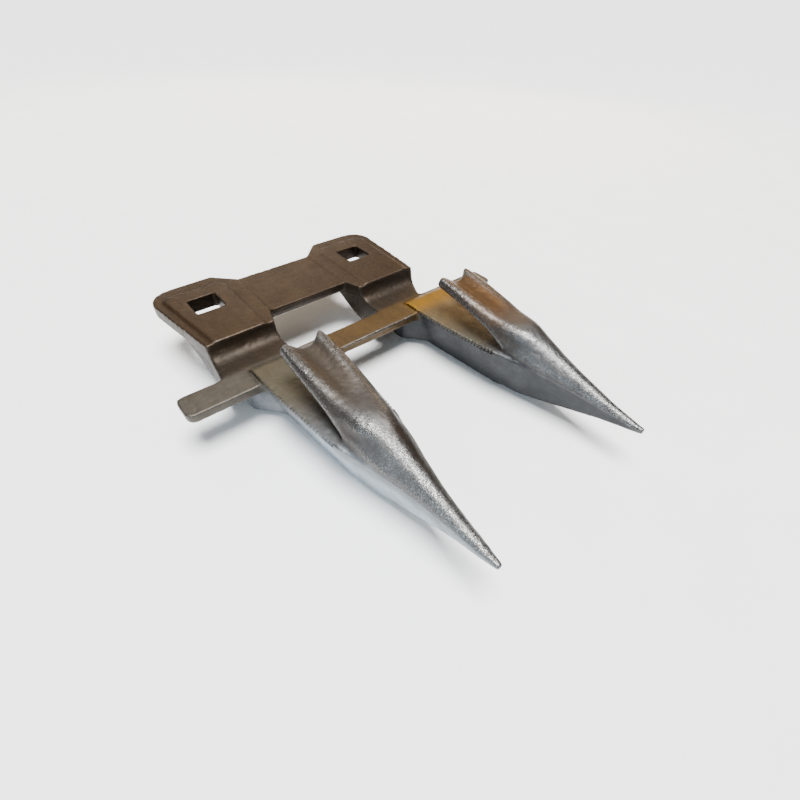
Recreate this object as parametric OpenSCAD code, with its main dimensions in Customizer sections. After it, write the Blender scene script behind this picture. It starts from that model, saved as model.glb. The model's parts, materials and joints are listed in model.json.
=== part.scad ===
// Double knife guard for a cutter bar: two fingers, ledgers, lips and a two-bolt mounting plate.
// Origin: midway between the two bolt holes, on the underside (bar face) of the mounting plate.
// X runs along the cutter bar, the finger tips point toward -Y, Z is up.

/* [Pitch] */
// Distance between the two bolt holes and between the two finger tips
pitch = 76.2; // [70:0.1:90]
// Sideways offset of the pair of fingers from the pair of bolt holes
finger_offset = 12.9; // [0:0.1:20]

/* [Mounting plate] */
// Thickness of the bolt lugs
lug_thick = 6; // [4:0.5:10]
// Distance from the hole centres back to the rear edge of the lugs
lug_rear = 21; // [15:0.5:30]
// Distance from the hole centres forward to the front edge of the lugs
lug_front = 28.2; // [20:0.1:36]
// Distance from the centre line to the outer side of each lug at its widest
lug_outer = 56.2; // [50:0.5:65]
// Distance from the centre line to the outer front corner of the left lug
lug_left_front = 50.4; // [45:0.1:60]
// Distance from the centre line to the outer front corner of the right lug
lug_right_front = 53.2; // [45:0.1:60]
// Radius of the rear outer corner of each lug
lug_corner = 9.5; // [4:0.5:14]
// Side of the square bolt holes
hole_side = 12; // [9:0.1:14]
// Height of the raised pad around each hole
pad_rise = 0.6; // [0.2:0.1:1.5]
// Half width of the web between the lugs
web_half = 19; // [15:0.5:24]
// Distance from the hole centres back to the rear edge of the web
web_rear = 12.7; // [8:0.1:18]
// Distance from the hole centres forward to the front edge of the web
web_front = 20; // [14:0.5:26]
// Chamfer under the front edge of the web
web_chamfer = 2.4; // [0:0.1:4]
// How far the web lies below the lug faces
web_recess = 0.4; // [0:0.1:2]

/* [Necks] */
// Distance from the centre line to the inner side of each neck
neck_inner = 21.5; // [18:0.5:26]
// Radius of the hollow front face of each neck
neck_hollow = 6; // [3:0.5:8]
// Depth of each neck below the bar face where it meets the finger
neck_depth = 14; // [8:0.5:20]
// Distance from the centre line to the outer side of each neck under its lug
neck_outer = 52.1; // [46:0.1:56]
// Distance from the centre line to the outer side of the right neck at the cross bar
neck_right_foot = 46.6; // [42:0.1:52]

/* [Cross bar] */
// Distance from the hole centres forward to the rear edge of the cross bar
bar_rear = 41.3; // [36:0.1:50]
// Width of the cross bar
bar_width = 12.2; // [8:0.1:18]
// Thickness of the cross bar
bar_thick = 4; // [2.5:0.5:8]
// Position of the left end of the cross bar
bar_left = -69; // [-76:0.1:-50]
// Position of the right end of the cross bar
bar_right = 84.3; // [70:0.1:100]
// Radius of the corners at the ends of the cross bar
bar_corner = 2.5; // [0.5:0.5:5]

/* [Fingers] */
// Distance from the hole centres forward to the finger tips
tip_reach = 153.8; // [150:0.1:165]
// Height of the finger tips above the bar face
tip_height = -2.8; // [-6:0.1:0]
// Depth of the finger keel below the bar face
keel_depth = 18; // [14:0.5:22]
// Half width of the finger under the cross bar
body_half = 16.4; // [14:0.1:20]
// Half width of the heel that carries the cross bar
heel_half = 20; // [18:0.5:24]
// Half width of the flat keel at the start of the nose
keel_half = 7; // [5:0.1:9]
// Slope of the bevels beside the keel from upright, in degrees
keel_bevel = 50; // [30:1:60]
// Slope of the finger flanks from upright, in degrees
flank_draft = 16; // [10:0.5:18]

/* [Ledgers] */
// Thickness of the ledger plates
ledger_thick = 1.8; // [1.2:0.1:3]
// Half width of a ledger plate at its rear edge
ledger_half = 16.8; // [14:0.1:20]
// Half width of a ledger plate at its front
ledger_front_half = 12.4; // [10:0.1:14]
// Distance from the hole centres forward to the rear edge of the ledger plates
ledger_rear = 44; // [42:0.1:50]
// Distance from the hole centres forward to the start of the nose
nose_start = 97; // [92:1:100]
// Distance between the serrations of the shear edges
tooth_pitch = 1.6; // [1:0.1:3]
// Depth of the serrations
tooth_depth = 0.45; // [0.2:0.05:1]
// Length of the bevel at the rear edge of the ledger plates
ledger_ramp = 3; // [1:0.5:6]

/* [Lips] */
// Height of the knife slot at the rear of the lip
slot_rear = 10.8; // [9:0.1:12]
// Height of the knife slot halfway along the lip
slot_middle = 8.8; // [7:0.1:10]
// Height of the knife slot in front of that
slot_front = 5.4; // [4.2:0.1:7]
// Distance from the hole centres forward to the rear tips of the lip horns
lip_rear = 57; // [54:0.5:62]
// Height of the horn tips above the bar face
horn_height = 16.6; // [14:0.1:20]
// Radius of the dish between the lip ridges
dish_radius = 8; // [6:0.5:12]
// Depth of the dish at its rear
dish_depth = 2.4; // [1:0.1:3.5]
// Radius of the hollow between the two horns
notch_radius = 6.5; // [4:0.5:8]
// How far the hollow reaches in front of the horn tips
notch_depth = 2.6; // [1:0.1:4]
// How far the hollow lies to the right of the finger's centre line
notch_shift = 1.2; // [0:0.1:2]

/* [Hidden] */
$fn = 48;
half_pitch = pitch / 2;
left_x = finger_offset - half_pitch;
right_x = finger_offset + half_pitch;
bar_front = bar_rear + bar_width;
big = 200;
steel = [0.42, 0.38, 0.33];
worn = [0.62, 0.62, 0.62];

// Solid on the inner side of a sloping plane through (x, -y) at height z.
// turn is the angle of the plane in plan and lean its slope from upright, both closing toward +X.
module side_cut(x, y, z, turn, lean) {
    translate([x, -y, z])
        rotate([0, 0, -turn])
            rotate([0, lean, 0])
                translate([-big, -big / 2, -big / 2])
                    cube([big, big, big]);
}

module both_sides() {
    intersection() {
        children();
        mirror([1, 0, 0])
            children();
    }
}

// Extrudes a (y, z) profile along X, from x0 to x1, with y measured forward from the holes.
module side_profile(points, x0, x1) {
    translate([x0, 0, 0])
        rotate([90, 0, 90])
            linear_extrude(height = x1 - x0)
                polygon([for (p = points) [-p[0], p[1]]]);
}

// ---- mounting plate ----

module mounting_web() {
    top = lug_thick - web_recess;
    color(steel)
        side_profile([[-web_rear, 0], [-web_rear, top], [web_front, top], [web_front, web_chamfer],
                      [web_front - web_chamfer, 0]], -web_half, web_half);
}

// Width of the slanted part of each lug's rear edge, next to the web
rear_slant = 8.5;

// front is the distance from the centre line to the lug's outer front corner
module lug_outline(front) {
    side_turn = atan((lug_outer - front) / (lug_front + lug_rear - lug_corner));
    cx = lug_outer - lug_corner;
    cy = lug_rear - lug_corner;
    tx = cx + lug_corner * cos(side_turn);
    ty = cy - lug_corner * sin(side_turn);
    polygon([[web_half, web_rear], [web_half, -web_front], [neck_inner, -lug_front],
             [front, -lug_front], [tx, ty], [cx, cy], [cx, lug_rear],
             [web_half + rear_slant, lug_rear]]);
    translate([cx, cy])
        circle(r = lug_corner);
}

// The pad's sides and rear edge from the hole centre, its rear corner radius, and the width of
// the rim beside it at the front of the lug
pad_inner = 12.8;
pad_outer = 13.6;
pad_rear = 14;
pad_corner = 4;
pad_rim = 3.6;

module pad_outline(front) {
    low = half_pitch - pad_inner;
    high = half_pitch + pad_outer;
    polygon([[low, -lug_front], [front - pad_rim, -lug_front],
             [high, pad_rear - pad_corner], [high - pad_corner, pad_rear],
             [low + pad_corner, pad_rear], [low, pad_rear - pad_corner]]);
    translate([low + pad_corner, pad_rear - pad_corner])
        circle(r = pad_corner);
    translate([high - pad_corner, pad_rear - pad_corner])
        circle(r = pad_corner);
}

module bolt_lug(front) {
    color(steel)
        difference() {
            union() {
                linear_extrude(height = lug_thick)
                    lug_outline(front);
                translate([0, 0, lug_thick])
                    linear_extrude(height = pad_rise)
                        pad_outline(front);
            }
            translate([half_pitch - hole_side / 2, -hole_side / 2, -1])
                cube([hole_side, hole_side, lug_thick + pad_rise + 2]);
        }
}

// ---- necks ----

// Where a neck starts under the lug, how thick it is there, the flat strip in front of the lug
// before the hollow starts, and the steps of the curves
neck_back = 7;
neck_root = 3.3;
neck_gap = 0.2;
neck_steps = 8;

// Underside of a neck, from 0 under the lug to 1 at the bar: steep at first, then flatter
function neck_under(t) = -neck_root - (neck_depth - neck_root) * sin(90 * t);

function neck_profile() = concat(
    [[neck_back, 0], [lug_front, 0], [lug_front, lug_thick], [lug_front + neck_gap, lug_thick]],
    [for (i = [1 : neck_steps])
        let (a = 90 * i / neck_steps)
            [lug_front + neck_gap + neck_hollow * (1 - cos(a)), lug_thick - lug_thick * sin(a)]],
    [[bar_rear, 0]],
    [for (i = [neck_steps : -1 : 0])
        let (t = i / neck_steps)
            [neck_back + (bar_rear - neck_back) * t, neck_under(t)]]);

// side is -1 for the left neck and 1 for the right neck
module neck(side) {
    corner = side < 0 ? lug_left_front : lug_right_front;
    foot = side < 0 ? neck_outer : neck_right_foot;
    wide = max(neck_outer, corner);
    color(steel)
        intersection() {
            side_profile(neck_profile(), side < 0 ? -wide : neck_inner, side < 0 ? -neck_inner : wide);
            translate([0, 0, -big / 2])
                linear_extrude(height = big)
                    polygon([[side * neck_inner, -neck_back], [side * neck_inner, -bar_rear],
                             [side * foot, -bar_rear], [side * corner, -lug_front],
                             [side * neck_outer, -neck_back]]);
        }
}

// ---- cross bar ----

module cross_bar() {
    color(steel)
        translate([0, 0, -bar_thick])
            linear_extrude(height = bar_thick)
                union() {
                    translate([bar_left + bar_corner, -bar_front])
                        square([bar_right - bar_left - 2 * bar_corner, bar_width]);
                    translate([bar_left, -bar_front + bar_corner])
                        square([bar_right - bar_left, bar_width - 2 * bar_corner]);
                    for (x = [bar_left + bar_corner, bar_right - bar_corner])
                        for (y = [-bar_front + bar_corner, -bar_rear - bar_corner])
                            translate([x, y])
                                circle(r = bar_corner);
                }
}

// ---- fingers, drawn around their own centre line ----

// Turn of the flanks and of the keel's sides from straight ahead
rear_turn = atan((body_half - ledger_front_half) / (nose_start - bar_rear));
keel_turn = 4;
slice_thick = 0.01;

// Height of the joint between body and lip, falling from the ledger's face to the tip
function seam_height(y) =
    ledger_thick + (tip_height - ledger_thick) * (y - nose_start) / (tip_reach - nose_start);

// Nose lines: distance forward, half widths of the body at the joint and of the lip there,
// half width and height of the crest, half width and height of the keel
nose_lines = [[nose_start, ledger_front_half, 9.9, 4.6, 10.8, 7.2, -17.6],
              [104, 10.4, 9.2, 3.2, 10.4, 6.5, -17.2],
              [110, 8.7, 8.2, 2, 9, 5.6, -16.2],
              [117, 6.7, 6.5, 1.3, 6.7, 4.5, -14.6],
              [127, 4.5, 4.5, 1, 3.9, 3.2, -11.8],
              [139, 2.9, 2.9, 0.7, 0.6, 2, -8.1],
              [tip_reach, 1.1, 1.1, 0.4, tip_height + 0.6, 0.6, tip_height - 1.4]];

// Lip lines: distance forward, half width and height of the lower edge, half width and height of the ridges
lip_lines = [[lip_rear, 9.4, ledger_thick + slot_rear, 8.2, horn_height],
             [lip_rear + 15, 9.8, ledger_thick + slot_middle, 7.7, 14.6],
             [lip_rear + 29, 10, ledger_thick + slot_front, 6.3, 12.3],
             [nose_start, 9.9, ledger_thick, 4.6, 10.8]];

// A thin slice across the finger from half of its outline, as [half width, height] points
module slice(y, half) {
    count = len(half);
    translate([0, -y, 0])
        rotate([90, 0, 0])
            linear_extrude(height = slice_thick)
                polygon([for (i = [0 : 2 * count - 1])
                    i < count ? half[i] : [-half[2 * count - 1 - i][0], half[2 * count - 1 - i][1]]]);
}

// Outlines of the body, the nose and the lip for one nose line or lip line
function body_half_outline(l) =
    let (z = seam_height(l[0]))
        [[0.83 * l[5], l[6]], [1.09 * l[5], l[6] + 2.4], [l[1], z]];
function nose_half_outline(l) =
    let (z = seam_height(l[0]), h = l[4] - z)
        [[l[2], z], [l[2] * 1.02, z + 0.3 * h], [l[3] + 0.45 * (l[2] - l[3]), z + 0.8 * h], [l[3], l[4]]];
function lip_half_outline(l) =
    let (h = l[4] - l[2])
        [[l[1], l[2]], [l[1] * 1.02, l[2] + 0.3 * h],
         [l[3] + 0.45 * (l[1] - l[3]), l[2] + 0.8 * h], [l[3], l[4]]];

module body_rear() {
    intersection() {
        side_profile([[bar_rear, 0], [bar_rear, -keel_depth + 2], [bar_rear + 4, -keel_depth],
                      [nose_start, nose_lines[0][6]], [nose_start, 0]], -heel_half, heel_half);
        both_sides()
            side_cut(body_half, bar_rear, 0, rear_turn, flank_draft);
        both_sides()
            side_cut(keel_half, nose_start, -keel_depth, keel_turn, keel_bevel);
    }
}

module body_nose() {
    for (i = [0 : len(nose_lines) - 2])
        hull() {
            slice(nose_lines[i][0], body_half_outline(nose_lines[i]));
            slice(nose_lines[i + 1][0], body_half_outline(nose_lines[i + 1]));
        }
}

// Length of the heel's straight sides, its whole length, and half its width at the front
heel_flat = 6;
heel_length = 16;
heel_nose = 11.6;

module finger_heel() {
    translate([0, 0, -keel_depth + 2])
        linear_extrude(height = keel_depth - 2 - bar_thick)
            polygon([[-heel_half, -bar_rear], [-heel_half, -bar_rear - heel_flat],
                     [-heel_nose, -bar_rear - heel_length], [heel_nose, -bar_rear - heel_length],
                     [heel_half, -bar_rear - heel_flat], [heel_half, -bar_rear]]);
}

module finger_body() {
    color(steel)
        difference() {
            union() {
                body_rear();
                body_nose();
                finger_heel();
            }
            translate([-big / 2, -bar_front, -bar_thick])
                cube([big, 2 * bar_width, 2 * bar_thick]);
        }
}

// The serrations stop short of the nose
plain_front = 8;
teeth = floor((nose_start - plain_front - ledger_rear) / tooth_pitch);

// One serrated shear edge, from the rear to the front, at the right of the centre line
function shear_edge() = [for (i = [0 : 2 * teeth])
    let (y = ledger_rear + i * tooth_pitch / 2,
         t = (y - ledger_rear) / (nose_start - ledger_rear),
         w = ledger_half - (ledger_half - ledger_front_half) * t * t)
        [w - (i % 2) * tooth_depth, -y]];

module ledger_plate() {
    right = shear_edge();
    left = [for (i = [len(right) - 1 : -1 : 0]) [-right[i][0], right[i][1]]];
    color(worn)
        difference() {
            linear_extrude(height = ledger_thick)
                polygon(concat(right, [[ledger_front_half, -nose_start],
                                       [-ledger_front_half, -nose_start]], left));
            translate([0, -ledger_rear, ledger_thick / 2])
                rotate([-atan(ledger_thick / 2 / ledger_ramp), 0, 0])
                    translate([-2 * ledger_half, -ledger_ramp * 2, 0])
                        cube([4 * ledger_half, ledger_ramp * 3, big]);
        }
}

module lip_part() {
    for (i = [0 : len(lip_lines) - 2])
        hull() {
            slice(lip_lines[i][0], lip_half_outline(lip_lines[i]));
            slice(lip_lines[i + 1][0], lip_half_outline(lip_lines[i + 1]));
        }
}

module upper_nose() {
    for (i = [0 : len(nose_lines) - 2])
        hull() {
            slice(nose_lines[i][0], nose_half_outline(nose_lines[i]));
            slice(nose_lines[i + 1][0], nose_half_outline(nose_lines[i + 1]));
        }
}

module upper_lip() {
    crest = nose_lines[0][4];
    fall = atan((horn_height - dish_depth - crest) / (nose_start - lip_rear));
    color(worn)
        difference() {
            union() {
                lip_part();
                upper_nose();
            }
            // dish between the ridges, fading out toward the hump
            translate([0, -lip_rear, horn_height - dish_depth + dish_radius])
                rotate([fall + 90, 0, 0])
                    translate([0, 0, -dish_radius])
                        cylinder(r = dish_radius, h = tip_reach - lip_rear);
            // hollow between the two horns
            translate([notch_shift, -lip_rear + notch_radius - notch_depth, 0])
                cylinder(r = notch_radius, h = 2 * horn_height);
        }
}

mounting_web();
mirror([1, 0, 0]) bolt_lug(lug_left_front);  // left_bolt_lug
bolt_lug(lug_right_front);  // right_bolt_lug
neck(-1);  // left_neck
neck(1);  // right_neck
cross_bar();
translate([left_x, 0, 0]) finger_body();  // left_finger_body
translate([right_x, 0, 0]) finger_body();  // right_finger_body
translate([left_x, 0, 0]) ledger_plate();  // left_ledger_plate
translate([right_x, 0, 0]) ledger_plate();  // right_ledger_plate
translate([left_x, 0, 0]) upper_lip();  // left_upper_lip
translate([right_x, 0, 0]) upper_lip();  // right_upper_lip
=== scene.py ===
"""Looks of a double knife guard: one forged surface, cut into the guard's named pieces."""

import json
import math

import bpy
import bmesh
import numpy as np
from mathutils import Matrix, Vector, kdtree, noise


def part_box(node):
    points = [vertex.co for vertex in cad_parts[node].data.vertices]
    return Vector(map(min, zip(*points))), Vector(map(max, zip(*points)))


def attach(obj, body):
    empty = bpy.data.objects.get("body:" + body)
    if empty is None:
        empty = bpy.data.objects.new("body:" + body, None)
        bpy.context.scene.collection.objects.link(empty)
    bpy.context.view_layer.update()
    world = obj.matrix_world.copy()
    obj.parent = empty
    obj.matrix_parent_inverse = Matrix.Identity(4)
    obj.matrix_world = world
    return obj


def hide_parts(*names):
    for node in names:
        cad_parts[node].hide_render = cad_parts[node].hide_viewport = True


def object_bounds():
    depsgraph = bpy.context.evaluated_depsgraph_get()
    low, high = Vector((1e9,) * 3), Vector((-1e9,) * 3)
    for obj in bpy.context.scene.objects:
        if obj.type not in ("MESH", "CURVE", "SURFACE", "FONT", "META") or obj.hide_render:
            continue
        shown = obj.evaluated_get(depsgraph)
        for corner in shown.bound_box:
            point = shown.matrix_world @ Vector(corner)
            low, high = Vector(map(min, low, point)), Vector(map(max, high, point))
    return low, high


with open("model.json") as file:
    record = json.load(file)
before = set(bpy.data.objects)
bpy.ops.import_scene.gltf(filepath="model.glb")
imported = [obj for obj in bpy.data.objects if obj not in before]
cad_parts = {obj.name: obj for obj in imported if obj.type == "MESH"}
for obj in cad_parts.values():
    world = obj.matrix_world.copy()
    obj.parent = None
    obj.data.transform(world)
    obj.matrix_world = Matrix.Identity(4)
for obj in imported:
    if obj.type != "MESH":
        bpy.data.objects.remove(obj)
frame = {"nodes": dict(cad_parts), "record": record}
CAD_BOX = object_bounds()

bl_info = {
    "name": "Double Knife Guard",
    "version": (1, 0, 0),
    "blender": (4, 5, 0),
    "location": "View3D > Sidebar > Guard",
    "description": "Builds the forged surface, finish and stage of a two-finger knife guard",
    "category": "Object",
}

MM = 0.001
BLANK = "forging_blank"
LUG_LOW, LUG_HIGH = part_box("right_bolt_lug")
BAR_LOW, BAR_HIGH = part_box("cross_bar")
LEDGER_LOW, LEDGER_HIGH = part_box("right_ledger_plate")
LIP_LOW, LIP_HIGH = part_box("right_upper_lip")
WEB_LOW, WEB_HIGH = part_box("mounting_web")
LEDGER_HALF = (LEDGER_HIGH.x - LEDGER_LOW.x) / 2
# Half width of a ledger at its front, and how much of it the nose loses per length in front of that
LEDGER_FRONT_HALF = 12.4 * MM
NOSE_TAPER = 0.29
# The comb starts this far inside the plain edge, because softening draws the edge back
EDGE_LOSS = 0.3 * MM
# The pieces are cut this far outside the plain solids' faces, so that no cut grazes the wavy skin
MARGIN = 0.35 * MM
LUG_FRONT = LUG_LOW.y - MARGIN
BAR_REAR = BAR_HIGH.y + MARGIN
BAR_FRONT = BAR_LOW.y - MARGIN
BAR_UNDER = BAR_LOW.z - MARGIN
LEDGER_TOP = LEDGER_HIGH.z + MARGIN
# A distance past every part of the guard
FAR = 0.3


def finger_centre(side):
    """X of the centre line of the left (-1) or right (1) finger."""
    low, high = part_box("left_ledger_plate" if side < 0 else "right_ledger_plate")
    return (low.x + high.x) / 2


HOLE_X = next(m["pos_m"][0] for m in frame["record"]["mounts"] if m["name"] == "right_bolt_hole")
LEFT_X = finger_centre(-1)
RIGHT_X = finger_centre(1)
MIDDLE_X = (LEFT_X + RIGHT_X) / 2
TIP_Y = LIP_LOW.y
TIP_Z = LIP_LOW.z
FLOOR_Z = CAD_BOX[0][2]

# Stretches along a finger, as distances in front of the bolt holes, where something sets in or fades
LIP_START = (62 * MM, 74 * MM)
NOSE_START = (92 * MM, 112 * MM)
TIP_STRETCH = (136 * MM, -TIP_Y)
FLASH_START = (108 * MM, 116 * MM)
FLASH_END = (146 * MM, 152 * MM)
SEAM_WEAR_START = (104 * MM, 114 * MM)
FLANK_START = (58 * MM, 84 * MM)
LEDGER_FADE = (58 * MM, 94 * MM)
SHADE_START = (50 * MM, 60 * MM)
SHADE_END = (84 * MM, 92 * MM)
LIP_FADE = (80 * MM, 104 * MM)
CREST_SHADE_START = (92 * MM, 104 * MM)

# The stage's light is bright and pale, so steel colours are made stronger and darker by these
COLOUR_STRENGTH = 1.35
STEEL_TONE = 0.21
DARKEST = 0.003


def linear(rgb):
    """Scene-linear colour from display values of 0 to 255."""
    return tuple((v / 255 / 12.92) if v <= 10 else ((v / 255 + 0.055) / 1.055) ** 2.4 for v in rgb)


def reflectance(rgb):
    """Base colour of steel that looks like these display values in the stage's bright light."""
    raw = linear(rgb)
    grey = sum(raw) / 3
    return tuple(max(DARKEST, (grey + (v - grey) * COLOUR_STRENGTH) * STEEL_TONE) for v in raw)


# ---- settings ----

class GuardForging(bpy.types.PropertyGroup):
    grain: bpy.props.FloatProperty(
        name="Mesh grain", description="Size of the cells that the forging is meshed with",
        default=0.5 * MM, min=0.3 * MM, max=1.5 * MM, unit="LENGTH", precision=5)
    passes: bpy.props.IntProperty(
        name="Softening", description="How many times the edges and corners are softened",
        default=34, min=0, max=120)
    flash: bpy.props.FloatProperty(
        name="Flash line", description="Height of the trimmed flash along the nose seam",
        default=0.3 * MM, unit="LENGTH", precision=5)
    wave: bpy.props.FloatProperty(
        name="Hammer wave", description="Depth of the broad unevenness of the forged skin",
        default=0.12 * MM, unit="LENGTH", precision=5)
    hump: bpy.props.FloatProperty(
        name="Hump", description="Height of the rounded hump where the lip turns into the nose",
        default=0.9 * MM, unit="LENGTH", precision=5)
    pitting: bpy.props.FloatProperty(
        name="Pitting", description="Depth of the fine pits in the forged skin",
        default=0.07 * MM, unit="LENGTH", precision=5)
    tooth_pitch: bpy.props.FloatProperty(
        name="Serration pitch", description="Distance between two serrations of a shear edge",
        default=1.6 * MM, unit="LENGTH", precision=5)
    tooth_depth: bpy.props.FloatProperty(
        name="Serration depth", description="Depth of the serrations",
        default=0.6 * MM, unit="LENGTH", precision=5)


def tint_property(label, text, colour):
    return bpy.props.FloatVectorProperty(
        name=label, description=text, default=colour, size=3, subtype="COLOR", min=0, max=1)


class GuardFinish(bpy.types.PropertyGroup):
    plate: tint_property("Plate", "Oiled forge scale of the mounting plate", reflectance((96, 72, 42)))
    neck: tint_property("Necks", "Darker scale of the necks", reflectance((86, 72, 57)))
    neck_side: tint_property(
        "Neck sides", "Greyer scale of the outer neck faces", reflectance((102, 98, 97)))
    bar_end: tint_property("Bar ends", "Free ends of the cross bar", reflectance((146, 140, 130)))
    bar_middle: tint_property("Bar middle", "Cross bar between the fingers", reflectance((148, 121, 84)))
    # Partly rubbed steel, partly a painted bluish reflection
    left_flank_rub_and_reflection: tint_property("Left flank", "Rubbed flank of the left finger with a painted bluish reflection", (0.40, 0.475, 0.54))
    # Painted shade: darker than the left flank
    right_flank_shade: tint_property(
        "Right flank", "Slate flank of the right finger", reflectance((108, 111, 116)))
    left_ledger: tint_property(
        "Left ledger", "Rear of the left ledger", reflectance((154, 148, 130)))
    right_ledger: tint_property(
        "Right ledger", "Rear of the right ledger", reflectance((246, 192, 92)))
    ledger_shade: tint_property(
        "Ledger shade", "Olive middle of the right ledger", reflectance((160, 158, 142)))
    left_lip: tint_property("Left lip", "Skin of the left lip", reflectance((122, 112, 101)))
    right_lip: tint_property("Right lip", "Skin of the right lip", reflectance((126, 92, 48)))
    nose: tint_property("Nose", "Rubbed side of the noses", reflectance((156, 156, 157)))
    nose_shade: tint_property("Nose shade", "Browner far side of the noses", reflectance((84, 64, 46)))
    worn: tint_property("Worn metal", "Bright metal where the skin is rubbed off", (0.125, 0.124, 0.121))


class GuardStage(bpy.types.PropertyGroup):
    azimuth: bpy.props.FloatProperty(
        name="Azimuth", description="Turn of the camera about the upright axis",
        default=math.radians(-41.8), subtype="ANGLE")
    elevation: bpy.props.FloatProperty(
        name="Elevation", description="Height of the camera above the horizon",
        default=math.radians(44.6), subtype="ANGLE")
    roll: bpy.props.FloatProperty(
        name="Roll", description="Turn of the camera about its own line of sight",
        default=math.radians(2.3), subtype="ANGLE")
    distance: bpy.props.FloatProperty(
        name="Distance", description="Distance from the camera to its target",
        default=146.2 * MM, unit="LENGTH")
    target: bpy.props.FloatVectorProperty(
        name="Target", description="Point that the camera looks at",
        default=(-11.2 * MM, -95.5 * MM, 6 * MM), size=3, subtype="TRANSLATION")
    lens: bpy.props.FloatProperty(
        name="Lens", description="Focal length in millimetres", default=19.52)
    floor_tint: tint_property("Floor", "Colour of the floor", linear((246, 246, 245)))
    daylight: bpy.props.FloatProperty(
        name="Daylight", description="Strength of the light from all round", default=0.2)
    glow: bpy.props.FloatProperty(
        name="Ceiling glow", description="Strength of the broad light from above", default=10.5)


# ---- meshes ----

def add_object(name, data):
    """An object in the scene for a mesh or a lamp."""
    piece = bpy.data.objects.new(name, data)
    bpy.context.scene.collection.objects.link(piece)
    return piece


def baked_mesh(piece):
    """The mesh of an object with its modifiers applied."""
    graph = bpy.context.evaluated_depsgraph_get()
    return bpy.data.meshes.new_from_object(piece.evaluated_get(graph))


def apply_all(piece):
    mesh = baked_mesh(piece)
    piece.modifiers.clear()
    old = piece.data
    piece.data = mesh
    bpy.data.meshes.remove(old)
    return piece


def closed_copy(node):
    """A copy of a CAD node's mesh with its faces welded to each other."""
    mesh = frame["nodes"][node].data.copy()
    mesh.materials.clear()
    work = bmesh.new()
    work.from_mesh(mesh)
    bmesh.ops.remove_doubles(work, verts=work.verts, dist=0.2e-6)
    work.to_mesh(mesh)
    work.free()
    return add_object(node + "_copy", mesh)


def combine(piece, other, operation):
    change = piece.modifiers.new("combine", "BOOLEAN")
    change.operation = operation
    change.solver = "MANIFOLD"
    change.object = other
    apply_all(piece)
    return piece


def closed_solid(name, blocks):
    """A closed solid for each block, which is two matching rings of points, all in one mesh."""
    work = bmesh.new()
    for rings in blocks:
        near, far = [[work.verts.new(point) for point in ring] for ring in rings]
        count = len(near)
        work.faces.new(near)
        work.faces.new(list(reversed(far)))
        for i in range(count):
            j = (i + 1) % count
            work.faces.new((near[j], near[i], far[i], far[j]))
    bmesh.ops.recalc_face_normals(work, faces=work.faces)
    mesh = bpy.data.meshes.new(name)
    work.to_mesh(mesh)
    work.free()
    return add_object(name, mesh)


def prism(outline, x0, x1):
    """A closed solid: an outline of (y, z) points, pushed along X from x0 to x1."""
    return closed_solid("prism", [[[(x, y, z) for y, z in outline] for x in (x0, x1)]])


def remove(piece):
    mesh = piece.data
    bpy.data.objects.remove(piece)
    bpy.data.meshes.remove(mesh)


def points_of(mesh):
    co = np.empty(len(mesh.vertices) * 3, np.float64)
    mesh.vertices.foreach_get("co", co)
    return co.reshape(-1, 3)


def edges_of(mesh):
    pairs = np.empty(len(mesh.edges) * 2, np.int64)
    mesh.edges.foreach_get("vertices", pairs)
    return pairs.reshape(-1, 2)


def normals_of(mesh):
    out = np.empty(len(mesh.vertices) * 3, np.float64)
    mesh.vertices.foreach_get("normal", out)
    return out.reshape(-1, 3)


def write_points(mesh, co):
    mesh.vertices.foreach_set("co", co.astype(np.float32).ravel())
    mesh.update()


def neighbour_mean(values, pairs, count):
    """The mean of each vertex's neighbours, for an array of rows."""
    a, b = pairs[:, 0], pairs[:, 1]
    size = len(values)
    total = np.empty_like(values)
    for k in range(values.shape[1]):
        total[:, k] = (np.bincount(a, values[b, k], size) + np.bincount(b, values[a, k], size)) / count
    return total


def relax(values, pairs, strength, passes):
    """Pulls each row toward its neighbours' mean, by its own strength, several times."""
    count = np.maximum(np.bincount(pairs.ravel(), minlength=len(values)), 1)
    for _ in range(passes):
        values = values + (neighbour_mean(values, pairs, count) - values) * strength[:, None]
    return values


def ease(x, low, high):
    """0 below low, 1 above high, and a smooth step between."""
    t = np.clip((x - low) / (high - low), 0, 1)
    return t * t * (3 - 2 * t)


def bump_at(x, centre, half_width):
    """1 at the centre, falling to 0 at half_width on either side of it."""
    return np.clip(1 - np.abs(x - centre) / half_width, 0, 1)


def noise_at(co, scale, octaves, seed):
    """Signed fractal noise at each point, with features of about scale metres."""
    shift = Vector((seed * 7.31, seed * 3.17, seed * 5.77))
    return np.array([noise.fractal(Vector(p) / scale + shift, 1.0, 2.0, octaves) for p in co])


def centre_line(x):
    """X of the centre line of the finger that each point belongs to."""
    return np.where(x < MIDDLE_X, LEFT_X, RIGHT_X)


def seam_height(y):
    """Height of the joint between body and lip at each place along a finger."""
    slope = (TIP_Z - LEDGER_HIGH.z) / (TIP_Y - LEDGER_LOW.y)
    return LEDGER_HIGH.z + np.minimum(y - LEDGER_LOW.y, 0) * slope


def shear_half(y):
    """Half width of the shear edges, and of the seam in front of them, at each place along a finger."""
    along = (LEDGER_HIGH.y - y) / (LEDGER_HIGH.y - LEDGER_LOW.y)
    rear = LEDGER_HALF - (LEDGER_HALF - LEDGER_FRONT_HALF) * along ** 2
    return np.where(along < 1, rear, LEDGER_FRONT_HALF + (y - LEDGER_LOW.y) * NOSE_TAPER)


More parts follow.
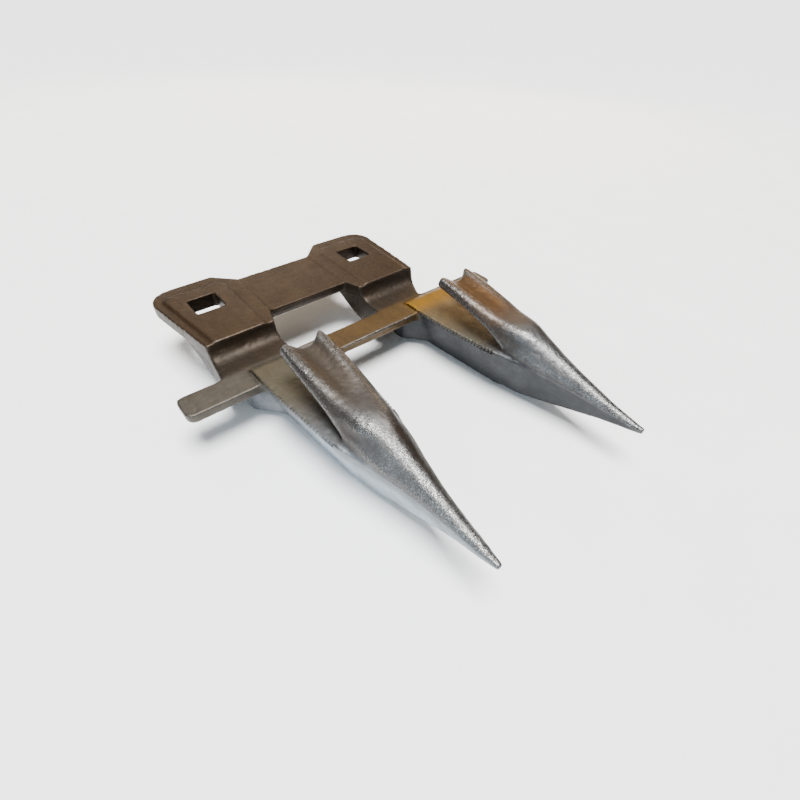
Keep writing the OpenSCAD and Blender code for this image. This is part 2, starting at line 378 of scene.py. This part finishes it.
def tooth_comb(centre, pitch, depth):
    """Two closed solids that bite a row of notches into the shear edges of one ledger."""
    low, high = -1 * MM, 4 * MM
    past_edge = LEDGER_HALF + 4 * MM
    count = int((LEDGER_HIGH.y - LEDGER_LOW.y) / pitch) - 2
    blocks = []
    for side in (-1, 1):
        edge = []
        for i in range(2 * count + 1):
            y = LEDGER_HIGH.y - (i + 1) * pitch / 2
            half = float(shear_half(y)) - EDGE_LOSS - depth * (i % 2)
            edge.append((centre + side * half, y))
        far = centre + side * past_edge
        outline = edge + [(far, edge[-1][1]), (far, edge[0][1])]
        blocks.append([[(x, y, z) for x, y in outline] for z in (low, high)])
    return closed_solid("comb", blocks)


# ---- the forging ----

FEWEST_BLANK_POINTS = 1000
FEWEST_PIECE_POINTS = 50


class GUARD_OT_forge_blank(bpy.types.Operator):
    """Joins the plain solids, softens every edge, and gives the skin its waves, pits and tints"""
    bl_idname = "guard.forge_blank"
    bl_label = "Forge the blank"

    def execute(self, context):
        forging = context.scene.guard_forging
        finish = context.scene.guard_finish
        names = sorted(frame["nodes"])
        blank = closed_copy(names[0])
        for name in names[1:]:
            other = closed_copy(name)
            combine(blank, other, "UNION")
            remove(other)
        blank.name = BLANK
        grid = blank.modifiers.new("grain", "REMESH")
        grid.mode = "VOXEL"
        grid.voxel_size = forging.grain
        apply_all(blank)
        mesh = blank.data
        if len(mesh.vertices) < FEWEST_BLANK_POINTS:
            raise RuntimeError("the forging came out empty")
        co = points_of(mesh)
        pairs = edges_of(mesh)
        co = relax(co, pairs, softness(co), forging.passes)
        write_points(mesh, co)
        co = co + normals_of(mesh) * skin_relief(co, forging)[:, None]
        write_points(mesh, co)
        store_wear(mesh, co, pairs)
        store_tint(mesh, co, pairs, finish)
        return {"FINISHED"}


def softness(co):
    """How strongly each point is softened: much at the hump and nose, little at tips and holes."""
    x, y, z = co.T
    plain_edge, least, most = 0.34, 0.02, 0.6
    out = np.full(len(co), plain_edge)
    on_lip = ease(-y, *LIP_START) * ease(z, 3 * MM, 5 * MM)
    hump_reach = 14 * MM
    out += on_lip * (0.2 + 0.2 * bump_at(y, LEDGER_LOW.y, hump_reach))
    out *= 1 - 0.85 * ease(-y, *TIP_STRETCH)
    plate_top = ease(y, BAR_HIGH.y, BAR_HIGH.y + 3 * MM) * ease(z, 2 * MM, 4 * MM)
    out *= 1 - 0.7 * plate_top
    plate_rear = ease(y, -26 * MM, -20 * MM)
    out *= 1 - 0.35 * plate_rear
    hole_reach = 9 * MM
    for side in (-1, 1):
        hole = np.maximum(np.abs(x - side * HOLE_X), np.abs(y))
        out *= 1 - 0.5 * np.clip(1 - hole / hole_reach, 0, 1)
    horns = ease(y, -66 * MM, -60 * MM) * ease(z, 9 * MM, 11 * MM) * (y < -55 * MM)
    out += 0.15 * horns
    inside = shear_half(y) - np.abs(x - centre_line(x))
    on_ledger = 1 - ease(-y, -LEDGER_LOW.y, -LEDGER_LOW.y + 22 * MM)
    beside = ease(-inside, -2.4 * MM, -0.6 * MM) * on_ledger
    shear = bump_at(z, seam_height(y), 3 * MM) * beside * (y < LEDGER_HIGH.y + 2 * MM)
    out *= 1 - 0.8 * np.clip(2 * shear, 0, 1)
    return np.clip(out, least, most)


def skin_relief(co, forging):
    """Height of the skin over the softened surface, in metres."""
    x, y, z = co.T
    wave_length, pit_length = 14 * MM, 1.7 * MM
    pit_level, pit_gain = 0.12, 2.4
    wave = noise_at(co, wave_length, 2, 1) * forging.wave
    pits = noise_at(co, pit_length, 2, 2)
    pits = -np.clip(pits - pit_level, 0, 1) * forging.pitting * pit_gain
    flash = bump_at(z, seam_height(y), 0.8 * MM)
    flash = flash * ease(-y, *FLASH_START) * (1 - ease(-y, *FLASH_END))
    hump = bump_at(y, LEDGER_LOW.y - 2 * MM, 11 * MM) * ease(z, 6 * MM, 10 * MM)
    return wave + pits + flash * forging.flash + ease(hump, 0, 1) * forging.hump


def store_wear(mesh, co, pairs):
    """Keeps how rubbed and how hollow each point is, from 0 to 1, as the attributes wear and hollow."""
    size = len(co)
    even = np.full(size, 0.5)
    flat = relax(co, pairs, even, 30)
    normals = normals_of(mesh)
    height = np.einsum("ij,ij->i", co - flat, normals)
    sharp_ridge = 0.34 * MM
    convex = np.clip(height / sharp_ridge, -1, 1)
    x, y, z = co.T
    on_lip = ease(z - seam_height(y), 0.2 * MM, 1.6 * MM) * ease(-y, -LIP_HIGH.y - 1 * MM, -LIP_HIGH.y)
    nose = ease(-y, *NOSE_START)
    up = np.clip(normals[:, 2], 0, 1)
    edge_wear = 0.22
    wear = np.clip(convex, 0, 1) * (edge_wear + (1 - edge_wear) * on_lip)
    wear += on_lip * nose * (0.06 + 0.3 * up * np.clip(0.3 + convex, 0, 1))
    # Painted shade: the far side of each nose crest is kept less rubbed, so it stays darker, as with the
    # nose shade tint
    far_side = ease(x - centre_line(x), 0.4 * MM, 2.4 * MM)
    wear *= 1 - 0.75 * far_side * on_lip * nose
    wear += 0.35 * bump_at(z, seam_height(y), 0.9 * MM) * ease(-y, *SEAM_WEAR_START)
    right_of_left = ease(x, LEFT_X + 18 * MM, LEFT_X + 20 * MM)
    between = right_of_left * (1 - ease(x, RIGHT_X - 20 * MM, RIGHT_X - 18 * MM))
    wear += 0.9 * bump_at(y, BAR_LOW.y, 1 * MM) * bump_at(z, 0, 0.9 * MM) * between
    wear = relax(np.clip(wear, 0, 1)[:, None], pairs, even, 8)[:, 0]
    hollow = relax(np.clip(-convex, 0, 1)[:, None], pairs, even, 6)[:, 0]
    for name, values in (("wear", wear), ("hollow", hollow)):
        layer = mesh.attributes.new(name, "FLOAT", "POINT")
        layer.data.foreach_set("value", values.astype(np.float32))


def store_tint(mesh, co, pairs, finish):
    """Keeps the broad colour of each point, with soft borders between the pieces, as tint; on the finger
    flanks it holds painted reflection and painted shade.
    """
    x, y, z = co.T
    size = len(co)
    left = x < MIDDLE_X
    tint = np.tile(np.array(finish.plate), (size, 1))

    def paint(mask, colour, share=1.0):
        amount = (mask * share)[:, None]
        tint[:] = tint * (1 - amount) + np.array(colour) * amount

    across = x - centre_line(x)
    ledger_reach, neck_side_width = 19 * MM, 7 * MM
    paint((z < 5 * MM) & (y > BAR_HIGH.y), finish.neck)
    paint((y > BAR_HIGH.y) & (y < LUG_LOW.y), finish.neck)
    paint((z < -5 * MM) & (y > BAR_HIGH.y) & (np.abs(x) > LUG_HIGH.x - neck_side_width), finish.neck_side)
    bar = (y < BAR_HIGH.y) & (z > BAR_LOW.z)
    paint(bar, finish.bar_middle)
    paint(bar & ((x < LEFT_X + 6 * MM) | (x > RIGHT_X + 12 * MM)), finish.bar_end)
    in_front = (y < BAR_LOW.y - 0.6 * MM) & (np.abs(across) < ledger_reach)
    finger = (y < BAR_HIGH.y) & ((z < BAR_LOW.z) | in_front)
    paint(finger, finish.nose_shade)
    # The left finger's flank is painted lighter and bluish, more towards the bottom and the front: partly
    # rubbed steel, partly a painted reflection of bluish light
    low = 0.35 + 0.65 * ease(-z, 0, 8 * MM)
    paint(finger & left, finish.left_flank_rub_and_reflection, (0.35 + 0.65 * ease(-y, *FLANK_START)) * low)
    # The right finger is painted a darker slate than the left: painted shade
    paint(finger & ~left, finish.right_flank_shade)
    ledger = (z > 0.8 * MM) & (z < 2.6 * MM) & (y < LEDGER_HIGH.y) & (y > LEDGER_LOW.y)
    fade = 1 - ease(-y, *LEDGER_FADE)
    paint(ledger, finish.nose, 0.75)
    paint(ledger & left, finish.left_ledger, fade)
    paint(ledger & ~left, finish.right_ledger, fade)
    shade = 0.8 * ease(-y, *SHADE_START) * (1 - ease(-y, *SHADE_END))
    paint(ledger & ~left, finish.ledger_shade, shade)
    lip = (y < LIP_HIGH.y) & (z > seam_height(y) + 0.6 * MM + 0.8 * MM * (y > LEDGER_LOW.y))
    paint(lip & left, finish.left_lip)
    paint(lip & ~left, finish.right_lip)
    paint(lip, finish.nose, ease(-y, *LIP_FADE))
    paint(lip, finish.nose_shade, 0.85 * ease(across, 0, 2.2 * MM) * ease(-y, *CREST_SHADE_START))
    tint = relax(tint, pairs, np.full(size, 0.5), 10)
    layer = mesh.attributes.new("tint", "FLOAT_COLOR", "POINT")
    rgba = np.ones((size, 4), np.float32)
    rgba[:, :3] = tint
    layer.data.foreach_set("color", rgba.ravel())


SHARP_ANGLE = 50
_trees = {}


def skin_tree():
    """A search tree over the blank's points, made once."""
    if not _trees:
        source = bpy.data.objects[BLANK].data
        tree = kdtree.KDTree(len(source.vertices))
        for i, vertex in enumerate(source.vertices):
            tree.insert(vertex.co, i)
        tree.balance()
        _trees["blank"] = tree
    return _trees["blank"]


def dress(piece):
    """Gives a piece the blank's attributes, smooth faces and sharp cut edges."""
    mesh = piece.data
    source = bpy.data.objects[BLANK].data
    tree = skin_tree()
    nearest = np.array([tree.find(v.co)[1] for v in mesh.vertices])
    for layer in list(mesh.attributes):
        if layer.name in ("wear", "hollow", "tint"):
            mesh.attributes.remove(layer)
    for name in ("wear", "hollow"):
        values = np.empty(len(source.vertices), np.float32)
        source.attributes[name].data.foreach_get("value", values)
        layer = mesh.attributes.new(name, "FLOAT", "POINT")
        layer.data.foreach_set("value", values[nearest])
    colours = np.empty(len(source.vertices) * 4, np.float32)
    source.attributes["tint"].data.foreach_get("color", colours)
    layer = mesh.attributes.new("tint", "FLOAT_COLOR", "POINT")
    layer.data.foreach_set("color", colours.reshape(-1, 4)[nearest].ravel())
    mesh.polygons.foreach_set("use_smooth", np.ones(len(mesh.polygons), bool))
    mesh.set_sharp_from_angle(angle=math.radians(SHARP_ANGLE))


def drop_crumbs(mesh):
    """Keeps only the largest connected part of a mesh."""
    parent = np.arange(len(mesh.vertices))
    pairs = edges_of(mesh)
    while True:
        low = np.minimum(parent[pairs[:, 0]], parent[pairs[:, 1]])
        np.minimum.at(parent, pairs[:, 0], low)
        np.minimum.at(parent, pairs[:, 1], low)
        shorter = parent[parent]
        if np.array_equal(shorter, parent) and np.array_equal(parent[pairs[:, 0]], parent[pairs[:, 1]]):
            break
        parent = shorter
    main_part = np.bincount(parent).argmax()
    work = bmesh.new()
    work.from_mesh(mesh)
    crumbs = [v for v, root in zip(work.verts, parent) if root != main_part]
    bmesh.ops.delete(work, geom=crumbs, context="VERTS")
    work.to_mesh(mesh)
    work.free()


def cut_piece(name, outline, x0, x1, finish, without=None):
    """Cuts one named piece from the blank and gives it its material."""
    blank = bpy.data.objects[BLANK]
    piece = add_object(name, blank.data.copy())
    cell = prism(outline, x0, x1)
    combine(piece, cell, "INTERSECT")
    remove(cell)
    if without is not None:
        combine(piece, without, "DIFFERENCE")
        remove(without)
    if len(piece.data.vertices) < FEWEST_PIECE_POINTS:
        raise RuntimeError("nothing was cut for " + name)
    drop_crumbs(piece.data)
    piece.name = name + "_forged"
    dress(piece)
    piece.data.materials.clear()
    piece.data.materials.append(finish)
    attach(piece, "root")
    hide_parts(name)
    return piece


# ---- shaders ----

class Value:
    """A number socket; an expression on it adds its Math nodes."""

    def __init__(self, tree, socket):
        self.tree = tree
        self.socket = socket

    def math(self, operation, first, second):
        node = self.tree.nodes.new("ShaderNodeMath")
        node.operation = operation
        for place, value in zip(node.inputs, (first, second)):
            if isinstance(value, Value):
                self.tree.links.new(value.socket, place)
            else:
                place.default_value = value
        return Value(self.tree, node.outputs[0])

    def __add__(self, other):
        return self.math("ADD", self, other)

    def __sub__(self, other):
        return self.math("SUBTRACT", self, other)

    def __rsub__(self, other):
        return self.math("SUBTRACT", other, self)

    def __mul__(self, other):
        return self.math("MULTIPLY", self, other)

    def clamped(self):
        out = self.math("ADD", self, 0)
        out.socket.node.use_clamp = True
        return out


class Skin:
    """The node tree of one material."""

    def __init__(self, name):
        self.material = bpy.data.materials.new(name)
        self.material.use_nodes = True
        self.tree = self.material.node_tree
        self.shader = self.tree.nodes["Principled BSDF"]
        self.place = self.node("ShaderNodeTexCoord").outputs["Object"]

    def node(self, kind, settings=None, inputs=None):
        made = self.tree.nodes.new(kind)
        for key, value in (settings or {}).items():
            if key == "stops":
                self.set_stops(made.color_ramp, value)
            else:
                setattr(made, key, value)
        for key, value in (inputs or {}).items():
            self.feed(made.inputs[key], value)
        return made

    @staticmethod
    def set_stops(ramp, stops):
        while len(ramp.elements) < len(stops):
            ramp.elements.new(1)
        for element, (place, grey) in zip(ramp.elements, stops):
            element.position = place
            element.color = (grey, grey, grey, 1)

    def feed(self, place, value):
        if isinstance(value, Value):
            self.tree.links.new(value.socket, place)
        elif isinstance(value, bpy.types.NodeSocket):
            self.tree.links.new(value, place)
        else:
            place.default_value = value

    def attribute(self, name):
        found = self.node("ShaderNodeAttribute", {"attribute_name": name})
        return Value(self.tree, found.outputs["Fac"])

    def colour_attribute(self, name):
        return self.node("ShaderNodeAttribute", {"attribute_name": name}).outputs["Color"]

    def noise(self, size, detail, roughness, stretch=None):
        place = self.place
        if stretch:
            place = self.node("ShaderNodeMapping", None, {"Vector": place, "Scale": stretch}).outputs[0]
        made = self.node("ShaderNodeTexNoise", None, {
            "Vector": place, "Scale": 1 / size, "Detail": detail, "Roughness": roughness})
        return Value(self.tree, made.outputs["Fac"])

    def ramp(self, value, *stops):
        made = self.node("ShaderNodeValToRGB", {"stops": stops}, {"Fac": value})
        return Value(self.tree, made.outputs["Color"])

    def mix(self, share, first, second, blend="MIX"):
        made = self.node("ShaderNodeMix", {"data_type": "RGBA", "blend_type": blend})
        self.feed(made.inputs["Factor"], share)
        for place, value in ((made.inputs[6], first), (made.inputs[7], second)):
            self.feed(place, value if isinstance(value, (bpy.types.NodeSocket, Value)) else (*value, 1))
        return made.outputs[2]

    def bump(self, height, depth, strength, below=None):
        made = self.node("ShaderNodeBump", None, {
            "Height": height, "Distance": depth, "Strength": strength})
        if below is not None:
            self.feed(made.inputs["Normal"], below)
        return made.outputs["Normal"]


SCALE_METALLIC = 0.75
OIL_FILM = 0.04
OIL_FILM_ROUGHNESS = 0.28
CLOUD_TINT = (0.58, 0.57, 0.56)
STREAK_TINT = (1.7, 1.65, 1.6)
GRAIN_TINT = (0.5, 0.49, 0.48)
# Painted shade: the colour that hollows and creases are darkened by
HOLLOW_SHADE_TINT = (0.42, 0.38, 0.35)
PIT_COLOUR = (0.014, 0.012, 0.011)
PAINTED_GLINT_COLOUR = (0.55, 0.545, 0.53)


def forged_finish(name, finish, stain, roughness, stain_share=0.3):
    """Forge scale with stains, grain and pits, rubbed to bright pitted metal where wear says so, with
    painted shade in the hollows and painted glints on the rubbed metal.
    """
    skin = Skin(name)
    tint = skin.colour_attribute("tint")
    wear = skin.attribute("wear")
    hollow = skin.attribute("hollow")
    clouds = skin.ramp(skin.noise(9 * MM, 5, 0.62), (0.32, 0), (0.68, 1))
    stains = skin.ramp(skin.noise(15 * MM, 4, 0.62), (0.45, 0), (0.66, 1))
    grain = skin.ramp(skin.noise(0.35 * MM, 3, 0.7), (0.35, 0), (0.65, 1))
    specks = skin.ramp(skin.noise(0.33 * MM, 3, 0.7), (0.38, 1), (0.52, 0))
    broken = skin.noise(0.7 * MM, 6, 0.8)
    streaks = skin.ramp(skin.noise(3.5 * MM, 4, 0.7, (1, 0.22, 1)), (0.40, 0), (0.62, 1))
    colour = skin.mix(clouds * 0.5, tint, CLOUD_TINT, "MULTIPLY")
    colour = skin.mix(stains * stain_share, colour, stain)
    colour = skin.mix(streaks * 0.3, colour, STREAK_TINT, "MULTIPLY")
    colour = skin.mix(grain * 0.4, colour, GRAIN_TINT, "MULTIPLY")
    # Painted shade: hollows and creases are darkened and browned
    colour = skin.mix(hollow * 0.4, colour, HOLLOW_SHADE_TINT, "MULTIPLY")
    rub = skin.ramp(wear + broken * 0.7 - 0.35, (0.15, 0), (0.8, 1))
    bright = rub * (1 - specks * 0.7)
    colour = skin.mix(bright, colour, tuple(finish.worn))
    rubbed = skin.ramp(wear, (0.1, 0), (0.5, 1))
    colour = skin.mix(specks * rubbed * 0.7, colour, PIT_COLOUR)
    # Painted glints: bright specks in the base colour of rubbed metal stand for sparkling highlights
    painted_glints = skin.ramp(skin.noise(0.5 * MM, 3, 0.75), (0.54, 0), (0.64, 1))
    colour = skin.mix(painted_glints * rubbed * 0.3, colour, PAINTED_GLINT_COLOUR)
    skin.feed(skin.shader.inputs["Base Color"], colour)
    metallic = bright * (1 - SCALE_METALLIC) + SCALE_METALLIC
    skin.feed(skin.shader.inputs["Metallic"], metallic.clamped())
    rough = clouds * 0.12 + roughness + grain * 0.06 + hollow * 0.15 - rubbed * 0.2
    skin.feed(skin.shader.inputs["Roughness"], rough.clamped())
    skin.shader.inputs["Coat Weight"].default_value = OIL_FILM
    skin.shader.inputs["Coat Roughness"].default_value = OIL_FILM_ROUGHNESS
    coarse = skin.bump(clouds, 0.25 * MM, 0.5)
    fine = skin.bump(grain, 0.03 * MM, 0.6, coarse)
    pits = skin.bump(1 - specks * (wear * 0.8 + 0.2), 0.05 * MM, 0.7, fine)
    skin.feed(skin.shader.inputs["Normal"], pits)
    return skin.material


# ---- pieces ----

def halves():
    """The left and right half of the guard's rear: name prefix, x0, x1."""
    return (("left", -FAR, 0), ("right", 0, FAR))


def fingers():
    """The left and right finger: name prefix, x0, x1."""
    return (("left", -FAR, MIDDLE_X), ("right", MIDDLE_X, FAR))


class GUARD_OT_plate(bpy.types.Operator):
    """Cuts the web and the two bolt lugs"""
    bl_idname = "guard.plate"
    bl_label = "Mounting plate"

    def execute(self, context):
        finish = forged_finish(
            "oiled_forge_scale", context.scene.guard_finish, stain=(0.016, 0.008, 0.004), roughness=0.36)
        outline = [(FAR, -MARGIN), (FAR, FAR), (LUG_FRONT, FAR), (LUG_FRONT, -MARGIN)]
        cut_piece("mounting_web", outline, WEB_LOW.x, WEB_HIGH.x, finish)
        cut_piece("left_bolt_lug", outline, -FAR, WEB_LOW.x, finish)
        cut_piece("right_bolt_lug", outline, WEB_HIGH.x, FAR, finish)
        return {"FINISHED"}


class GUARD_OT_necks(bpy.types.Operator):
    """Cuts the two necks"""
    bl_idname = "guard.necks"
    bl_label = "Necks"

    def execute(self, context):
        finish = forged_finish(
            "dark_forge_scale", context.scene.guard_finish, stain=(0.011, 0.009, 0.008), roughness=0.40)
        outline = [(FAR, -FAR), (FAR, -MARGIN), (LUG_FRONT, -MARGIN), (LUG_FRONT, FAR), (BAR_REAR, FAR),
                   (BAR_REAR, -FAR)]
        for side, x0, x1 in halves():
            cut_piece(side + "_neck", outline, x0, x1, finish)
        return {"FINISHED"}


class GUARD_OT_cross_bar(bpy.types.Operator):
    """Cuts the cross bar"""
    bl_idname = "guard.cross_bar"
    bl_label = "Cross bar"

    def execute(self, context):
        finish = forged_finish(
            "trimmed_bar_steel", context.scene.guard_finish, stain=(0.025, 0.016, 0.008), roughness=0.38)
        outline = [(BAR_FRONT, BAR_UNDER), (BAR_REAR, BAR_UNDER), (BAR_REAR, MARGIN),
                   (BAR_FRONT, MARGIN)]
        cut_piece("cross_bar", outline, -FAR, FAR, finish)
        return {"FINISHED"}


def seam_points():
    """The joint between body and lip as (y, z) points, from the ledger to past the tip."""
    return [(y, float(seam_height(y)) + MARGIN) for y in (LEDGER_LOW.y, -FAR)]


class GUARD_OT_finger_bodies(bpy.types.Operator):
    """Cuts the heel, keel and lower nose of each finger"""
    bl_idname = "guard.finger_bodies"
    bl_label = "Finger bodies"

    def execute(self, context):
        # The finger bodies' tint holds painted light: a bluish reflection on the left flank, painted shade
        # on the right one
        finish = forged_finish(
            "rubbed_flank_steel_with_painted_light", context.scene.guard_finish, stain=(0.05, 0.053, 0.056), roughness=0.36,
            stain_share=0.4)
        outline = [(BAR_REAR, -FAR), (BAR_REAR, BAR_UNDER), (BAR_FRONT, BAR_UNDER), (BAR_FRONT, 0),
                   (LEDGER_LOW.y, 0)] + seam_points() + [(-FAR, -FAR)]
        for side, x0, x1 in fingers():
            cut_piece(side + "_finger_body", outline, x0, x1, finish)
        return {"FINISHED"}


class GUARD_OT_ledgers(bpy.types.Operator):
    """Cuts the ledgers and files the serrations into their shear edges"""
    bl_idname = "guard.ledgers"
    bl_label = "Ledgers"

    def execute(self, context):
        forging = context.scene.guard_forging
        # Both ledgers use this finish; the rear of the right one is tinted straw yellow, the left one grey
        finish = forged_finish(
            "straw_ledger_steel", context.scene.guard_finish, stain=(0.045, 0.034, 0.018), roughness=0.34)
        outline = [(BAR_REAR, MARGIN), (BAR_REAR, LEDGER_TOP), (LEDGER_LOW.y, LEDGER_TOP),
                   (LEDGER_LOW.y, 0), (BAR_FRONT, 0), (BAR_FRONT, MARGIN)]
        for (side, x0, x1), centre in zip(fingers(), (LEFT_X, RIGHT_X)):
            comb = tooth_comb(centre, forging.tooth_pitch, forging.tooth_depth)
            cut_piece(side + "_ledger_plate", outline, x0, x1, finish, comb)
        return {"FINISHED"}


class GUARD_OT_lips(bpy.types.Operator):
    """Cuts the overhanging lips with the nose crests"""
    bl_idname = "guard.lips"
    bl_label = "Lips"

    def execute(self, context):
        finish = forged_finish(
            "pitted_worn_lip", context.scene.guard_finish, stain=(0.035, 0.024, 0.015), roughness=0.36,
            stain_share=0.4)
        outline = [(BAR_REAR, FAR), (BAR_REAR, LEDGER_TOP)] + seam_points() + [(-FAR, FAR)]
        for side, x0, x1 in fingers():
            cut_piece(side + "_upper_lip", outline, x0, x1, finish)
        return {"FINISHED"}


# ---- stage ----

FLOOR_HALF = 12
FLOOR_GAP = 0.1 * MM
DAYLIGHT_COLOUR = (0.96, 0.98, 1.0, 1)
# Each softbox: its name, the way to it from the guard, its side, its power and its colour
SOFTBOXES = (
    ("rear_softbox", (0.25, 0.85, 0.5), 0.45, 1.6, (1.0, 0.82, 0.62)),
    ("left_softbox", (-0.85, -0.35, 0.40), 0.50, 4.0, (0.74, 0.87, 1.0)),
    ("warm_lamp", (0.75, 0.45, 0.35), 0.25, 1.0, (1.0, 0.66, 0.34)))
SOFTBOX_REACH = 0.75
SOFTBOX_TARGET = (0.01, -0.07, 0)
GLOW_ANGLE = 36
GLOW_PLACE = (0.05, -0.05, 1)
SENSOR_WIDTH = 36


def aim(obj, place, target):
    obj.location = place
    obj.rotation_euler = (Vector(target) - Vector(place)).to_track_quat("-Z", "Y").to_euler()


class GUARD_OT_stage(bpy.types.Operator):
    """Lays the floor, hangs the lights and sets the camera"""
    bl_idname = "guard.stage"
    bl_label = "Stage"

    def execute(self, context):
        scene = context.scene
        stage = scene.guard_stage
        self.lay_floor(stage)
        self.hang_lights(stage)
        self.set_camera(scene, stage)
        return {"FINISHED"}

    def lay_floor(self, stage):
        half = FLOOR_HALF
        mesh = bpy.data.meshes.new("floor")
        corners = [(-half, -half, 0), (half, -half, 0), (half, half, 0), (-half, half, 0)]
        mesh.from_pydata(corners, [], [(0, 1, 2, 3)])
        floor = add_object("floor", mesh)
        floor.location.z = FLOOR_Z - FLOOR_GAP
        skin = Skin("pale_floor")
        speck = skin.ramp(skin.noise(30 * MM, 2, 0.5), (0.3, 0.97), (0.7, 1))
        colour = skin.mix(1.0, tuple(stage.floor_tint), speck.socket, "MULTIPLY")
        skin.feed(skin.shader.inputs["Base Color"], colour)
        skin.shader.inputs["Roughness"].default_value = 0.9
        mesh.materials.append(skin.material)

    def hang_lights(self, stage):
        world = bpy.data.worlds.new("daylight")
        world.use_nodes = True
        background = world.node_tree.nodes["Background"]
        background.inputs["Color"].default_value = DAYLIGHT_COLOUR
        background.inputs["Strength"].default_value = stage.daylight
        bpy.context.scene.world = world
        target = Vector(SOFTBOX_TARGET)
        for name, toward, size, power, colour in SOFTBOXES:
            lamp = bpy.data.lights.new(name, "AREA")
            lamp.shape = "SQUARE"
            lamp.size = size
            lamp.energy = power
            lamp.color = colour
            aim(add_object(name, lamp), target + Vector(toward) * SOFTBOX_REACH, target)
        sky = bpy.data.lights.new("ceiling_glow", "SUN")
        sky.energy = stage.glow
        sky.angle = math.radians(GLOW_ANGLE)
        aim(add_object("ceiling_glow", sky), GLOW_PLACE, (0, 0, 0))

    def set_camera(self, scene, stage):
        lens = bpy.data.cameras.new("camera")
        lens.lens = stage.lens
        lens.sensor_width = SENSOR_WIDTH
        lens.clip_start = 1 * MM
        lens.clip_end = 60
        camera = bpy.data.objects.new("camera", lens)
        scene.collection.objects.link(camera)
        turn, lift, roll = stage.azimuth, stage.elevation, stage.roll
        back = Vector((math.sin(turn) * math.cos(lift), -math.cos(turn) * math.cos(lift), math.sin(lift)))
        right = Vector((math.cos(turn), math.sin(turn), 0))
        up = back.cross(right)
        tilted_right = right * math.cos(roll) + up * math.sin(roll)
        tilted_up = up * math.cos(roll) - right * math.sin(roll)
        axes = Matrix((tilted_right, tilted_up, back)).transposed().to_4x4()
        place = Vector(stage.target) + back * stage.distance
        camera.matrix_world = Matrix.Translation(place) @ axes
        scene.camera = camera


class GUARD_PT_panel(bpy.types.Panel):
    """Lists the guard's operators"""
    bl_label = "Knife guard"
    bl_idname = "GUARD_PT_panel"
    bl_space_type = "VIEW_3D"
    bl_region_type = "UI"
    bl_category = "Guard"

    def draw(self, context):
        for step in STEPS:
            self.layout.operator(step.bl_idname)
        for group in (context.scene.guard_forging, context.scene.guard_finish, context.scene.guard_stage):
            box = self.layout.box()
            for key in group.__annotations__:
                box.prop(group, key)


STEPS = (GUARD_OT_stage, GUARD_OT_forge_blank, GUARD_OT_plate, GUARD_OT_necks, GUARD_OT_cross_bar,
         GUARD_OT_finger_bodies, GUARD_OT_ledgers, GUARD_OT_lips)
GROUPS = {"guard_forging": GuardForging, "guard_finish": GuardFinish, "guard_stage": GuardStage}


def register():
    for group in GROUPS.values():
        bpy.utils.register_class(group)
    for step in STEPS:
        bpy.utils.register_class(step)
    bpy.utils.register_class(GUARD_PT_panel)
    for name, group in GROUPS.items():
        setattr(bpy.types.Scene, name, bpy.props.PointerProperty(type=group))


def unregister():
    for name in GROUPS:
        delattr(bpy.types.Scene, name)
    for made in (GUARD_PT_panel, *STEPS, *GROUPS.values()):
        bpy.utils.unregister_class(made)


def main():
    register()
    for step in STEPS:
        area, action = step.bl_idname.split(".")
        getattr(getattr(bpy.ops, area), action)()
    remove(bpy.data.objects[BLANK])


if __name__ == "__main__":
    main()
